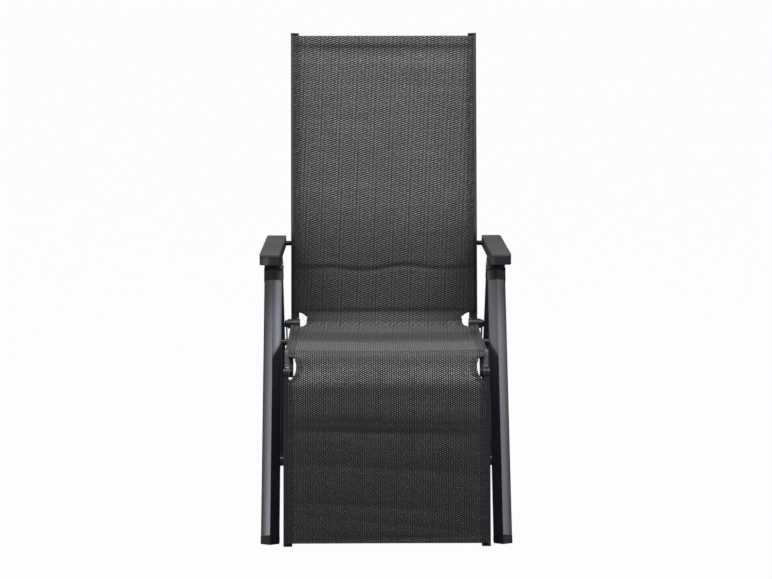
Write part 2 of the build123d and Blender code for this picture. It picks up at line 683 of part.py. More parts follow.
# Footrest rails, caps, hem rods and crossbars.
foot_face_frame = side_frame(
    foot_frame.from_local_coords((0, -foot_face, 0)).Y,
    foot_frame.from_local_coords((0, -foot_face, 0)).Z,
    -90 - foot_lean,
)
for side, s in sides:
    with BuildPart() as footrest_rail:
        start = across(foot_face_frame, foot_rail_start)
        extrude(rail_section(start, foot_inner, s), amount=foot_rail_end - foot_rail_start)
    footrest_rail.part.label = "footrest_rail_" + side
    export_step(footrest_rail.part, f"parts/footrest_rail_{side}.step")

with BuildPart() as footrest_rail_caps:
    for side, s in sides:
        cap_section = rail_section(across(foot_face_frame, foot_rail_end), foot_inner, s, grooved=False)
        extrude(cap_section, amount=foot_length - foot_rail_end)
    fillet(footrest_rail_caps.faces().sort_by(Axis.Z)[:2].edges(), radius=lip_round)
footrest_rail_caps.part.label = "footrest_rail_caps"
export_step(footrest_rail_caps.part, "parts/footrest_rail_caps.step")

with BuildPart() as footrest_hem_rods:
    for side, s in sides:
        with BuildSketch(across(foot_face_frame, foot_rail_start)) as rod_ends:
            with Locations((s * (foot_outer - groove_in), -groove_down)):
                Circle(rod_radius)
        extrude(rod_ends.sketch, amount=foot_rail_end - foot_rail_start)
footrest_hem_rods.part.label = "footrest_hem_rods"
export_step(footrest_hem_rods.part, "parts/footrest_hem_rods.step")

foot_bars = {
    "footrest_crossbar_high": foot_bar_high,
    "footrest_crossbar_low": foot_length - foot_bar_above_end,
}
for name, along in foot_bars.items():
    with BuildPart() as footrest_crossbar:
        round_bar(foot_face_frame, along, bar_down, bar_radius, -foot_inner, foot_inner)
        bore = bar_radius - tube_wall
        round_bar(foot_face_frame, along, bar_down, bore, -foot_inner, foot_inner, Mode.SUBTRACT)
    footrest_crossbar.part.label = name
    export_step(footrest_crossbar.part, f"parts/{name}.step")

# Upper knuckles of the footrest, and the pins of its hinge.
with BuildPart() as footrest_knuckles:
    for side, s in sides:
        round_bar(foot_frame, 0, 0, foot_eye_radius, s * foot_split, s * foot_outer)
        web = [
            (0, -foot_face),
            (foot_block_start, -foot_face),
            (foot_block_start, foot_eye_radius),
            (0, foot_eye_radius),
        ]
        side_plate(foot_frame, web, s * foot_split, s * foot_outer)
        block_back = rail_depth - foot_face
        block = [
            (foot_block_start, -foot_face),
            (foot_rail_start, -foot_face),
            (foot_rail_start, block_back),
            (foot_block_start, block_back),
        ]
        side_plate(foot_frame, block, s * foot_inner, s * foot_outer)
        bore = hinge_pin_radius + bore_clearance
        round_bar(foot_frame, 0, 0, bore, s * foot_inner, s * foot_outer, Mode.SUBTRACT)
footrest_knuckles.part.label = "footrest_knuckles"
export_step(footrest_knuckles.part, "parts/footrest_knuckles.step")

with BuildPart() as footrest_hinge_pins:
    for side, s in sides:
        round_bar(foot_frame, 0, 0, hinge_pin_radius, s * rail_inner, s * foot_outer)
footrest_hinge_pins.part.label = "footrest_hinge_pins"
export_step(footrest_hinge_pins.part, "parts/footrest_hinge_pins.step")

# Cloth of the footrest.
foot_cloth_half = foot_outer - lip_width - cloth_edge
foot_cloth_top, foot_cloth_end = 18.0, foot_length - cloth_above_foot_end
with BuildPart() as sling_footrest:
    plate = [
        (foot_cloth_top, -cloth_gap),
        (foot_cloth_end, -cloth_gap),
        (foot_cloth_end, -cloth_gap - cloth_thick),
        (foot_cloth_top, -cloth_gap - cloth_thick),
    ]
    side_plate(foot_face_frame, plate, -foot_cloth_half, foot_cloth_half)
sling_footrest.part.label = "sling_footrest"
export_step(sling_footrest.part, "parts/sling_footrest.step")
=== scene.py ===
import bmesh
import bpy
from math import cos, exp, hypot, pi, radians, sin
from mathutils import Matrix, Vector, noise
from mathutils.geometry import interpolate_bezier


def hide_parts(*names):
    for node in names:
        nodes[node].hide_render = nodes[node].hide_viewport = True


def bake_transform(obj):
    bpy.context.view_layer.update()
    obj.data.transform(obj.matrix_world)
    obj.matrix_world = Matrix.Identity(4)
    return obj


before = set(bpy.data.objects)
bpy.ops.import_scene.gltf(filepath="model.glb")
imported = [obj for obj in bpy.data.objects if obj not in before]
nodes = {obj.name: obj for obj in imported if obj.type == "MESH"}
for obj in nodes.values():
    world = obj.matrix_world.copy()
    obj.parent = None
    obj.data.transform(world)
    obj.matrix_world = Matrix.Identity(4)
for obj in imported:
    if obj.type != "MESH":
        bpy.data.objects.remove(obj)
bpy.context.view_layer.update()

# Camera. The chair is seen from straight ahead and a little above, through a long lens, so that
# its legs stay nearly upright and the seat shows as a shallow band.
camera = bpy.data.cameras.new("front_view")
camera.lens, camera.sensor_width = 96.08, 36.0
camera.shift_x, camera.shift_y = 0.0009, -0.0014
camera.clip_end = 60
degrees_down, turned_aside = 11.6, -0.0121
camera_object = bpy.data.objects.new("front_view", camera)
camera_object.location = (-0.060, -4.9853, 1.5834)
camera_object.rotation_euler = (radians(90 - degrees_down), 0, turned_aside)
bpy.context.scene.collection.objects.link(camera_object)
bpy.context.scene.camera = camera_object
bpy.context.scene.view_settings.view_transform = "Standard"

# Floor and light. A plain white studio floor with hardly a shadow, three soft lamps high in front of the
# chair, one in the middle and one at each side, and the pale surroundings as fill.
def node_of(tree, kind, **sockets):
    """One shader node, with values for its sockets or links into them; i0, i1 and so on go by number."""
    made = tree.nodes.new(kind)
    for name, value in sockets.items():
        by_number = name[0] == "i" and name[1:].isdigit()
        socket = made.inputs[int(name[1:]) if by_number else name.replace("_", " ")]
        if isinstance(value, bpy.types.NodeSocket):
            tree.links.new(value, socket)
        else:
            socket.default_value = value
    return made


def seen_directly(tree):
    """1 for what the camera sees, straight or through glass, 0 for the light that falls on things."""
    path = tree.nodes.new("ShaderNodeLightPath")
    most = tree.nodes.new("ShaderNodeMath")
    most.operation = "MAXIMUM"
    tree.links.new(path.outputs["Is Camera Ray"], most.inputs[0])
    tree.links.new(path.outputs["Is Transmission Ray"], most.inputs[1])
    return most.outputs[0]


surroundings = bpy.data.worlds.new("pale_surroundings")
bpy.context.scene.world = surroundings
surroundings.use_nodes = True
air = surroundings.node_tree
air.nodes.clear()
direct = seen_directly(air)
fill_light = node_of(air, "ShaderNodeBackground", Color=(0.93, 0.96, 1.0, 1), Strength=0.16)
white_air = node_of(air, "ShaderNodeBackground", Color=(1, 1, 1, 1), Strength=1.0)
sky = node_of(air, "ShaderNodeMixShader", i0=direct, i1=fill_light.outputs[0], i2=white_air.outputs[0])
ending = air.nodes.new("ShaderNodeOutputWorld")
air.links.new(sky.outputs[0], ending.inputs[0])

floor_mesh = bmesh.new()
bmesh.ops.create_grid(floor_mesh, x_segments=2, y_segments=2, size=60.0)
floor_data = bpy.data.meshes.new("studio_floor")
floor_mesh.to_mesh(floor_data)
floor_mesh.free()
floor = bpy.data.objects.new("studio_floor", floor_data)
bpy.context.scene.collection.objects.link(floor)
floor_paint = bpy.data.materials.new("pale_floor")
floor_paint.use_nodes = True
tree = floor_paint.node_tree
tree.nodes.clear()
direct = seen_directly(tree)
glow_share = 0.98
matt = node_of(tree, "ShaderNodeBsdfDiffuse", Color=(0.30, 0.30, 0.30, 1))
glow = node_of(tree, "ShaderNodeEmission", Color=(1, 1, 1, 1), Strength=1.0)
lifted = node_of(tree, "ShaderNodeMixShader", i0=glow_share, i1=matt.outputs[0], i2=glow.outputs[0])
surface = node_of(tree, "ShaderNodeMixShader", i0=direct, i1=matt.outputs[0], i2=lifted.outputs[0])
ending = tree.nodes.new("ShaderNodeOutputMaterial")
tree.links.new(surface.outputs[0], ending.inputs[0])
floor_data.materials.append(floor_paint)

aimed_at = Vector((0, 0.05, 0.6))
for lamp_name, place, size, power in (
    ("key_softbox", (0.0, -0.9, 3.2), 1.4, 60.0),
    ("left_softbox", (-1.95, -1.55, 2.45), 1.0, 26.0),
    ("right_softbox", (1.95, -1.55, 2.45), 1.0, 26.0),
):
    lamp = bpy.data.lights.new(lamp_name, "AREA")
    lamp.shape, lamp.size, lamp.energy = "SQUARE", size, power
    lamp_object = bpy.data.objects.new(lamp_name, lamp)
    lamp_object.location = place
    lamp_object.rotation_euler = (aimed_at - Vector(place)).to_track_quat("-Z", "Y").to_euler()
    bpy.context.scene.collection.objects.link(lamp_object)

# Legs, rails and crossbars. Drawn aluminium tube, mitred, welded and riveted, in a satin anthracite powder
# coat with slight orange peel and a little mottling. The greys laid across the front legs and the backrest
# rails are painted highlights and painted shade on their facets, and the seat rails' paler coat is painted
# light.
def math_node(tree, operation, *values):
    """A Math node fed with numbers or sockets; gives its output socket."""
    made = tree.nodes.new("ShaderNodeMath")
    made.operation = operation
    for index, value in enumerate(values):
        if isinstance(value, bpy.types.NodeSocket):
            tree.links.new(value, made.inputs[index])
        else:
            made.inputs[index].default_value = value
    return made.outputs[0]


def mixed(tree, amount, first, second, blending="MIX"):
    """A Mix node for two colours; gives its output socket."""
    made = tree.nodes.new("ShaderNodeMix")
    made.data_type, made.blend_type = "RGBA", blending
    for index, value in ((0, amount), (6, first), (7, second)):
        if isinstance(value, bpy.types.NodeSocket):
            tree.links.new(value, made.inputs[index])
        else:
            made.inputs[index].default_value = value
    return made.outputs[2]


def grained(name, dark, light, roughness, grain, depth, patches=6.0, specular=0.5, metallic=0.0,
            stretch=(1, 1, 1)):
    """A material with two close tones in soft patches, uneven gloss and a fine surface grain."""
    made = bpy.data.materials.new(name)
    made.use_nodes = True
    tree = made.node_tree
    shader = tree.nodes["Principled BSDF"]
    place = tree.nodes.new("ShaderNodeTexCoord")
    turned = node_of(tree, "ShaderNodeMapping", Vector=place.outputs["Object"], Scale=stretch)
    cloud = node_of(tree, "ShaderNodeTexNoise", Vector=turned.outputs[0], Scale=patches, Detail=5.0,
                    Roughness=0.6)
    speck = node_of(tree, "ShaderNodeTexNoise", Vector=turned.outputs[0], Scale=grain, Detail=3.0,
                    Roughness=0.65)
    cloud_share, speck_share, gloss_swing = 0.62, 0.38, 0.05
    share = math_node(tree, "ADD", math_node(tree, "MULTIPLY", cloud.outputs[0], cloud_share),
                      math_node(tree, "MULTIPLY", speck.outputs[0], speck_share))
    ramp = node_of(tree, "ShaderNodeValToRGB", i0=share)
    first, last = ramp.color_ramp.elements
    first.position, last.position = 0.36, 0.64
    first.color, last.color = (*dark, 1), (*light, 1)
    tree.links.new(ramp.outputs[0], shader.inputs["Base Color"])
    gloss = node_of(tree, "ShaderNodeMapRange", Value=share, From_Min=0.3, From_Max=0.7,
                    To_Min=roughness - gloss_swing, To_Max=roughness + gloss_swing)
    tree.links.new(gloss.outputs[0], shader.inputs["Roughness"])
    bump = node_of(tree, "ShaderNodeBump", Height=speck.outputs[0], Strength=0.35, Distance=depth)
    tree.links.new(bump.outputs[0], shader.inputs["Normal"])
    shader.inputs["Specular IOR Level"].default_value = specular
    shader.inputs["Metallic"].default_value = metallic
    return made


def paint(material, *names):
    """Gives CAD nodes their finish."""
    for name in names:
        for holder in nodes[name].material_slots:
            holder.material = material


def paint_light_across(material, low, high, from_z, to_z, slant=0.0, ridge=None, tint=(1, 1, 1)):
    """Paints light and shade on a coat as greys by distance from the chair's middle: a row of stops below,
    one above.

    The rows blend between two heights, on a slant if one is given. Beyond a ridge, given as its distance
    from the middle and two heights, they blend slowly between those two instead.
    """
    tree = material.node_tree
    base = tree.nodes["Principled BSDF"].inputs["Base Color"]
    grain = base.links[0].from_socket
    place = tree.nodes.new("ShaderNodeTexCoord")
    split = node_of(tree, "ShaderNodeSeparateXYZ", Vector=place.outputs["Object"])
    out, up = math_node(tree, "ABSOLUTE", split.outputs[0]), split.outputs[2]
    rows = []
    for stops in (low, high):
        near, far = stops[0][0], stops[-1][0]
        share = math_node(tree, "DIVIDE", math_node(tree, "SUBTRACT", out, near), far - near)
        ramp = node_of(tree, "ShaderNodeValToRGB", i0=share)
        ends = ramp.color_ramp.elements
        for index, (distance, grey) in enumerate(stops):
            if index == 0:
                stop = ends[0]
            elif index == len(stops) - 1:
                stop = ends[-1]
            else:
                stop = ends.new((distance - near) / (far - near))
            stop.color = (grey * tint[0], grey * tint[1], grey * tint[2], 1)
        rows.append(ramp.outputs[0])
    height = math_node(tree, "MULTIPLY_ADD", out, slant, up)
    amount = node_of(tree, "ShaderNodeMapRange", Value=height, From_Min=from_z, From_Max=to_z).outputs[0]
    if ridge:
        beyond = math_node(tree, "GREATER_THAN", out, ridge[0])
        slow = node_of(tree, "ShaderNodeMapRange", Value=up, From_Min=ridge[1], From_Max=ridge[2])
        amount = node_of(tree, "ShaderNodeMix", i0=beyond, i2=amount, i3=slow.outputs[0]).outputs[0]
    tone = mixed(tree, amount, rows[0], rows[1])
    tree.links.new(mixed(tree, 1.0, grain, tone, "ADD"), base)


powder_coat = grained("anthracite_powder_coat", dark=(0.016, 0.018, 0.026), light=(0.022, 0.025, 0.034),
                      roughness=0.29, grain=700.0, depth=0.00025, patches=5.0)
for name in nodes:
    if "rear_leg_" in name or "crossbar" in name or name.startswith("footrest_rail"):
        paint(powder_coat, name)
# Painted light on the front legs: below a slanting height the inner facet is painted in shade and the outer
# facet with a painted highlight; above it the inner facet carries the painted highlight.
painted_shade_inside = [(0.2555, 0.006), (0.2776, 0.006)]
leg_painted_light = {
    "left": (painted_shade_inside + [(0.2786, 0.44), (0.285, 0.34), (0.291, 0.17), (0.296, 0.07), (0.3005, 0.03)],
             [(0.2555, 0.05), (0.2585, 0.19), (0.266, 0.27), (0.272, 0.16), (0.2771, 0.10), (0.2779, 0.02),
              (0.2787, 0.08), (0.290, 0.03), (0.3005, 0.0)]),
    "right": (painted_shade_inside + [(0.2786, 0.24), (0.286, 0.22), (0.291, 0.14), (0.296, 0.07), (0.3005, 0.03)],
              [(0.2555, 0.05), (0.2585, 0.11), (0.2771, 0.10), (0.2779, 0.04), (0.2787, 0.17),
               (0.284, 0.14), (0.292, 0.06), (0.3005, 0.01)]),
}
for side, (low, high) in leg_painted_light.items():
    coat = grained("leg_coat_painted_light_" + side, dark=(0.006, 0.007, 0.009), light=(0.010, 0.011, 0.014),
                   roughness=0.33, grain=700.0, depth=0.0002, patches=5.0, specular=0.14)
    paint_light_across(coat, low, high, from_z=0.840, to_z=0.853, slant=1.60, ridge=(0.278, 0.10, 0.56),
                 tint=(0.95, 0.96, 1.08))
    paint(coat, "front_leg_" + side)
# The backrest rails' coat is painted darker than the frame's as painted shade, with a painted highlight
# strip along them above the armrests.
rail_coat = grained("back_rail_coat_painted_light", dark=(0.010, 0.010, 0.013), light=(0.015, 0.015, 0.019),
                    roughness=0.33, grain=700.0, depth=0.0002, patches=5.0, specular=0.16)
rail_painted_shade = [(0.219, 0.002), (0.2392, 0.004)]
rail_painted_highlight = [(0.219, 0.0), (0.2298, 0.0), (0.2312, 0.025), (0.233, 0.055), (0.2366, 0.060), (0.2380, 0.012),
             (0.2392, 0.0)]
paint_light_across(rail_coat, rail_painted_shade, rail_painted_highlight, from_z=0.645, to_z=0.665, tint=(0.98, 0.97, 1.06))
paint(rail_coat, "back_rail_left", "back_rail_right")
# The seat rails get the frame's coat painted a paler grey, as painted light falling on their tops.
seat_rail_painted_light = grained("seat_rail_coat_painted_light", dark=(0.070, 0.070, 0.071), light=(0.090, 0.090, 0.092),
                    roughness=0.45, grain=700.0, depth=0.0002, patches=9.0, specular=0.2)
paint(seat_rail_painted_light, "seat_rail_left", "seat_rail_right")

# Swing links. Flat aluminium bars with rounded ends between the rear legs and the back hinges, coated
# like the tubes, each end on a pin under a small black cover.
link_coat = grained("link_powder_coat", dark=(0.020, 0.022, 0.030), light=(0.026, 0.029, 0.038),
                    roughness=0.30, grain=700.0, depth=0.0002, patches=9.0)
paint(link_coat, "swing_link_left", "swing_link_right")

# Black mouldings. Foot caps, rail end caps, pin covers, armrest pins and toothed racks, injection moulded
# in black plastic with a fine spark-eroded grain, pushed into or over the tubes.
black_moulding = grained("black_moulding", dark=(0.006, 0.006, 0.007), light=(0.012, 0.012, 0.013),
                         roughness=0.42, grain=1500.0, depth=0.00012, patches=18.0, specular=0.25)
paint(black_moulding, "front_foot_left", "front_foot_right", "rear_foot_left", "rear_foot_right",
      "back_rail_caps", "footrest_rail_caps", "link_covers", "armrest_racks", "arm_pins")

# Hinge housings. Glass-filled nylon housings at the leg apex, at the back hinge and at the front hinge,
# riveted to the tubes: a warm dark grey. At the apex and the front brackets it is painted nearly black as
# painted shade, and the greys laid across these two, as on the legs, are painted light.
housing_nylon = grained("housing_nylon", dark=(0.017, 0.016, 0.015), light=(0.027, 0.025, 0.024),
                        roughness=0.40, grain=1300.0, depth=0.00015, patches=14.0, specular=0.45)
paint(housing_nylon, "rear_joint_left", "rear_joint_right", "seat_hinge_knuckles", "back_hinge_knuckles",
      "footrest_knuckles", "back_hinge_pins")
# The apex housings are painted nearly black as painted shade, with a painted highlight towards their inner
# side.
apex_nylon_painted_shade = grained("apex_nylon_painted_shade", dark=(0.004, 0.004, 0.004), light=(0.008, 0.008, 0.007),
                     roughness=0.45, grain=1300.0, depth=0.00015, patches=14.0, specular=0.12)
apex_painted_light = [(0.2545, 0.10), (0.260, 0.055), (0.266, 0.028), (0.273, 0.008), (0.302, 0.004)]
paint_light_across(apex_nylon_painted_shade, apex_painted_light, apex_painted_light, from_z=0.0, to_z=1.0, tint=(1.02, 1.0, 0.94))
paint(apex_nylon_painted_shade, "front_joint_left", "front_joint_right")
# The front brackets are painted nearly black on their inner part as painted shade, and a paler grey on their
# outer part as painted light.
bracket_nylon_painted_shade = grained("bracket_nylon_painted_shade", dark=(0.006, 0.006, 0.006), light=(0.010, 0.010, 0.010),
                        roughness=0.42, grain=1300.0, depth=0.00015, patches=14.0, specular=0.2)
bracket_painted_light = [(0.219, 0.0), (0.2268, 0.0), (0.2290, 0.085), (0.2395, 0.085)]
paint_light_across(bracket_nylon_painted_shade, bracket_painted_light, bracket_painted_light, from_z=0.0, to_z=1.0)
paint(bracket_nylon_painted_shade, "seat_front_brackets")

# Steel pins. Turned steel pins with fine turning marks: zinc plated at the apex, under the armrests and at
# the front hinge, blackened at the seat's pivots and in the links. Those at the apex are held by a flat head
# at each end.
turned_steel = grained("turned_steel", dark=(0.34, 0.34, 0.35), light=(0.48, 0.48, 0.49),
                       roughness=0.30, grain=2200.0, depth=0.00006, patches=40.0, metallic=1.0)
paint(turned_steel, "apex_pins", "rest_pins", "footrest_hinge_pins")
dark_steel = grained("blackened_steel", dark=(0.014, 0.014, 0.015), light=(0.026, 0.026, 0.028),
                     roughness=0.42, grain=1500.0, depth=0.00008, patches=30.0, specular=0.45)
paint(dark_steel, "seat_pivot_pins", "link_pins")

# Edge rods. Extruded dark plastic rods in the side hems of the cloth. They sit in the grooves of the rails,
# which hold them and with them the cloth.
rod_plastic = grained("rod_plastic", dark=(0.018, 0.018, 0.020), light=(0.030, 0.030, 0.033),
                      roughness=0.5, grain=900.0, depth=0.0001, patches=20.0, specular=0.4,
                      stretch=(1, 0.1, 0.1))
paint(rod_plastic, "seat_hem_rods", "back_hem_rods", "footrest_hem_rods")

# Armrests. Two-part moulded armrests: a satin anthracite base that carries the toothed rack, and a
# soft matt grey pad clipped on top over a narrow shadow groove. The greys laid across the bases, below
# their upper edge, stand in for glints of the studio light.
arm_glints = {
    "left": [(0.250, 0.0), (0.279, 0.0), (0.285, 0.03), (0.2905, 0.085), (0.295, 0.05), (0.304, 0.02)],
    "right": [(0.250, 0.0), (0.2525, 0.02), (0.2565, 0.075), (0.261, 0.035), (0.268, 0.0), (0.304, 0.0)],
}
no_glint = [(0.250, 0.0), (0.304, 0.0)]
for side, stops in arm_glints.items():
    base_plastic = grained("arm_base_plastic_" + side, dark=(0.022, 0.024, 0.030),
                           light=(0.031, 0.034, 0.041), roughness=0.36, grain=1100.0, depth=0.00012,
                           patches=8.0)
    paint_light_across(base_plastic, stops, no_glint, from_z=0.6462, to_z=0.6476)
    paint(base_plastic, "armrest_base_" + side)
arm_pad_rubber = grained("arm_pad_rubber", dark=(0.075, 0.076, 0.077), light=(0.100, 0.101, 0.102),
                         roughness=0.60, grain=1000.0, depth=0.0002, patches=7.0, specular=0.35)
paint(arm_pad_rubber, "armrest_pad_left", "armrest_pad_right")

# Sling cloth. One long piece of coated polyester mesh, dark grey with paler floats in staggered rows. Its
# side edges are folded over rods in the rails, its ends are hemmed, and it is cut away
# round the back hinges and at the front corners of the seat.
back_lean, foot_lean = radians(14), radians(14.9)
hinge = Vector((0, 0.1838, 0.430))
up_back = Vector((0, sin(back_lean), cos(back_lean)))
back_face = Vector((0, -cos(back_lean), sin(back_lean)))
front_hinge = Vector((0, -0.2852, 0.417))
down_foot = Vector((0, -sin(foot_lean), -cos(foot_lean)))
foot_face = Vector((0, -cos(foot_lean), sin(foot_lean)))
cloth_lift, cloth_thickness = 0.0013, 0.0012
side_half, foot_side_half = 0.2304, 0.2334
seat_run = [(0.1539, 0.4314), (0.0758, 0.4336), (-0.0342, 0.4395), (-0.1442, 0.4486), (-0.2262, 0.4576),
            (-0.2560, 0.4636)]
bend_above_hinge, bend_before_seat, bend_rise = 0.034, 0.012, 0.0003
foot_rail_ahead = 0.006
back_long, foot_long = 0.7440, 0.3988
back_start = hinge + bend_above_hinge * up_back + cloth_lift * back_face
back_top = hinge + back_long * up_back + cloth_lift * back_face
seat_start = Vector((0, seat_run[0][0] - bend_before_seat, seat_run[0][1] + cloth_lift + bend_rise))
foot_start = front_hinge + (foot_rail_ahead + cloth_lift) * foot_face
foot_end = foot_start + foot_long * down_foot


# The run of the cloth in the side view: straight on the backrest, bent into the seat, a smooth line through
# the places of the seat rail, rolled over the front edge and straight down the footrest.
close_pitch = 0.0015


def spaced(points, pitch, close):
    """The line with points at a pitch, closer between two lengths of it, and the length run at each."""
    lengths = [0.0]
    for a, b in zip(points, points[1:]):
        lengths.append(lengths[-1] + (b - a).length)
    wants = [0.0]
    while lengths[-1] - wants[-1] > 1e-5:
        step = close_pitch if close[0] <= wants[-1] <= close[1] else pitch
        wants.append(min(lengths[-1], wants[-1] + step))
    placed, seg = [], 0
    for want in wants:
        while seg < len(points) - 2 and lengths[seg + 1] < want:
            seg += 1
        share = (want - lengths[seg]) / (lengths[seg + 1] - lengths[seg])
        placed.append((points[seg].lerp(points[seg + 1], share), want))
    return placed


seat_points = [seat_start] + [Vector((0, y, z + cloth_lift)) for y, z in seat_run[1:]]
points_per_span, points_of_corner, points_of_roll = 12, 24, 28
seat_curve = []
for i in range(len(seat_points) - 1):
    a, b = seat_points[i], seat_points[i + 1]
    before, after = seat_points[max(i - 1, 0)], seat_points[min(i + 2, len(seat_points) - 1)]
    span = interpolate_bezier(a, a + (b - before) / 6, b - (after - a) / 6, b, points_per_span)
    seat_curve += span[:-1]
seat_curve.append(span[-1])
handle = 0.024
corner = interpolate_bezier(back_start, back_start - handle * up_back,
                            seat_start + Vector((0, 0.020, -0.0012)), seat_start, points_of_corner)
front_roll = interpolate_bezier(seat_points[-1], seat_points[-1] + Vector((0, -0.026, 0.0042)),
                                foot_start - handle * down_foot, foot_start, points_of_roll)
corner_mid, seat_mid = len(corner) // 2, len(seat_curve) // 2
row_pitch, front_row_pitch = 0.0046, 0.0038
back_line = [back_top, back_start] + list(corner[1:corner_mid + 1])
rear_line = list(corner[corner_mid:]) + list(seat_curve[1:seat_mid + 1])
front_line = list(seat_curve[seat_mid:]) + list(front_roll[1:])
runs = {
    "sling_back": spaced(back_line, row_pitch, (0.695, 0.80)),
    "sling_seat_rear": spaced(rear_line, row_pitch, (0.0, 0.055)),
    "sling_seat_front": spaced(front_line, front_row_pitch, (0.165, 0.30)),
    "sling_footrest": spaced([foot_start, foot_end], row_pitch, (0.0, 0.03)),
}

# Columns of the cloth's grid: their distances in from its edge over the hem, then an even spread between.
fold_line = [0.0, 0.0006, 0.0018, 0.0045, 0.0085, 0.0125, 0.0152, 0.0160, 0.0167, 0.0180, 0.0210, 0.0270]
middle_columns = 26

# The cutouts: place of the deepest point, reach beyond it and before it, depth into the cloth, and how
# steeply the depth falls off on either side.
rear_cutout = (0.0060, 0.0245, 0.0675, 0.0325, 0.45, 0.45)
front_cutout = (0.4330, 0.0215, 0.0370, 0.0215, 0.5, 0.9)
rear_area, front_area = 0.08, -0.25


def cut_in(place, cutout):
    """How far a cutout goes into the cloth at a place along it."""
    deepest, beyond, before, depth, fall_beyond, fall_before = cutout
    t = (place - deepest) / (beyond if place > deepest else before)
    if abs(t) >= 1:
        return 0.0
    return depth * (1 - abs(t) ** 2.4) ** (fall_beyond if t > 0 else fall_before)


def cloth_half(point):
    """Half width of the cloth at a place of its run, with the cutouts at both hinges."""
    if point.y < front_area:
        half = foot_side_half if point.z < front_hinge.z + 0.03 else side_half
        return half - cut_in(point.z, front_cutout)
    if point.y <= rear_area:
        return side_half
    reach = point - hinge
    along = 0.0
    if reach.z > 0.02:
        along = reach.dot(up_back)
    elif reach.y < -0.004:
        along = -hypot(reach.y, reach.z)
    return side_half - cut_in(along, rear_cutout)


# The hem: where it ends from the edge, where the cloth between the rails begins, how far it stands up, how
# far its very edge is tucked down again, and how dark that edge is painted, as painted shade in the rail's
# groove.
hem_end, hem_wide, hem_raised, edge_tucked, edge_painted_shade = 0.0156, 0.0164, 0.0008, 0.0006, 1.6


def make_cloth(name, relief, shade, v_start):
    """One length of the sling as a grid over its run, with relief towards the sitter."""
    run = runs[name]
    columns = 2 * len(fold_line) + middle_columns - 1
    sheet = bmesh.new()
    bmesh.ops.create_grid(sheet, x_segments=columns, y_segments=len(run) - 1, size=1.0)
    flat = sheet.loops.layers.uv.new("UVMap")
    hem_layer = sheet.verts.layers.float.new("hem")
    # The shade layer holds painted light and shade, multiplied into the cloth's tone by its material.
    shade_layer = sheet.verts.layers.float.new("shade")
    sheet.verts.ensure_lookup_table()
    where = {}
    for vert in sheet.verts:
        row = round((1 - vert.co.y) / 2 * (len(run) - 1))
        column = round((vert.co.x + 1) / 2 * columns)
        point, length = run[row]
        ahead, behind = run[min(row + 1, len(run) - 1)][0], run[max(row - 1, 0)][0]
        tangent = (ahead - behind).normalized()
        outward = Vector((0, tangent.z, -tangent.y))
        half = cloth_half(point)
        n = len(fold_line)
        if column < n:
            inset = fold_line[column]
            x = -half + inset
        elif column > columns - n:
            inset = fold_line[columns - column]
            x = half - inset
        else:
            inset = fold_line[-1]
            share = (column - n + 1) / (columns - 2 * n + 2)
            x = (half - inset) * (2 * share - 1)
        hem = 1.0 if inset < hem_end else 0.0
        raised = hem_raised * hem - (edge_tucked if inset < 0.0003 else 0.0)
        across = max(0.0, 1 - (x / (half - hem_wide)) ** 2)
        vert.co = point + Vector((x, 0, 0)) + outward * (raised + relief(x, length, across))
        # The very edge of the hem is marked darker still, as painted shade in the rail's groove.
        vert[hem_layer] = edge_painted_shade if inset < 0.001 else hem
        # Painted light and shade: slopes that face up the run are painted paler, those that face down it
        # darker.
        look = 0.002
        slope = (relief(x, length + look, across) - relief(x, length - look, across)) / (2 * look)
        vert[shade_layer] = shade(x, abs(x) / half, length) * min(1.25, max(0.7, 1 + 1.1 * slope))
        where[vert.index] = (x, v_start + length)
    for face in sheet.faces:
        for loop in face.loops:
            loop[flat].uv = where[loop.vert.index]
    bmesh.ops.recalc_face_normals(sheet, faces=sheet.faces)
    for face in sheet.faces:
        face.smooth = True
    data = bpy.data.meshes.new(name)
    sheet.to_mesh(data)
    sheet.free()
    piece = bpy.data.objects.new(name, data)
    bpy.context.scene.collection.objects.link(piece)
    return piece


def ripple(x, v, scale, seed):
    """Slow unevenness of stretched cloth, longer across than along."""
    return noise.noise(Vector((x * 3.0, v * scale, seed)))


def soft_step(value, start, end):
    """0 before start, 1 after end, with soft shoulders."""
    share = min(1.0, max(0.0, (value - start) / (end - start)))
    return share * share * (3 - 2 * share)


def bump_at(value, middle, wide):
    """A soft bump of height 1."""
    return exp(-((value - middle) / wide) ** 2)


def low_crease(x):
    """Distance from the top of the wavy crease low on the back."""
    return 0.600 - 0.0068 * sin(27.3 * x) * max(0.0, 1 - (x / 0.2) ** 2)


def back_relief(x, length, across):
    """Top hem, slight hollow between the rails and the two creases low on the back."""
    hollow = -0.0028 * across * min(1.0, max(0.0, length) / 0.12)
    uneven = 0.0005 * ripple(x, length, 16.0, 3.1) * across
    doubled = 0.0011 * (1 - soft_step(length, 0.023, 0.028))
    top_hem = doubled - 0.0012 * bump_at(length, 0.0445, 0.020) * across
    wavy_crease = 0.0018 * bump_at(length, low_crease(x), 0.006) * (0.4 + 0.6 * across)
    straight_crease = 0.0012 * bump_at(length, 0.712, 0.007) * across
    return hollow + uneven + top_hem - wavy_crease - straight_crease


def back_painted_shade(x, side, length):
    """Painted shade: darker low on the back, most so beside the rails, and in the creases and under the top
    hem.
    """
    low = soft_step(length, 0.40, 0.60)
    creases = 0.42 * bump_at(length, low_crease(x), 0.0052) + 0.22 * bump_at(length, 0.713, 0.007)
    under_hem = 0.17 * bump_at(length, 0.030, 0.007) - 0.07 * bump_at(length, 0.062, 0.011)
    beside_rails = (0.15 + 0.30 * low) * side ** 4
    return (1 - 0.26 * low) * (1 - beside_rails) * (1 - (creases + under_hem))


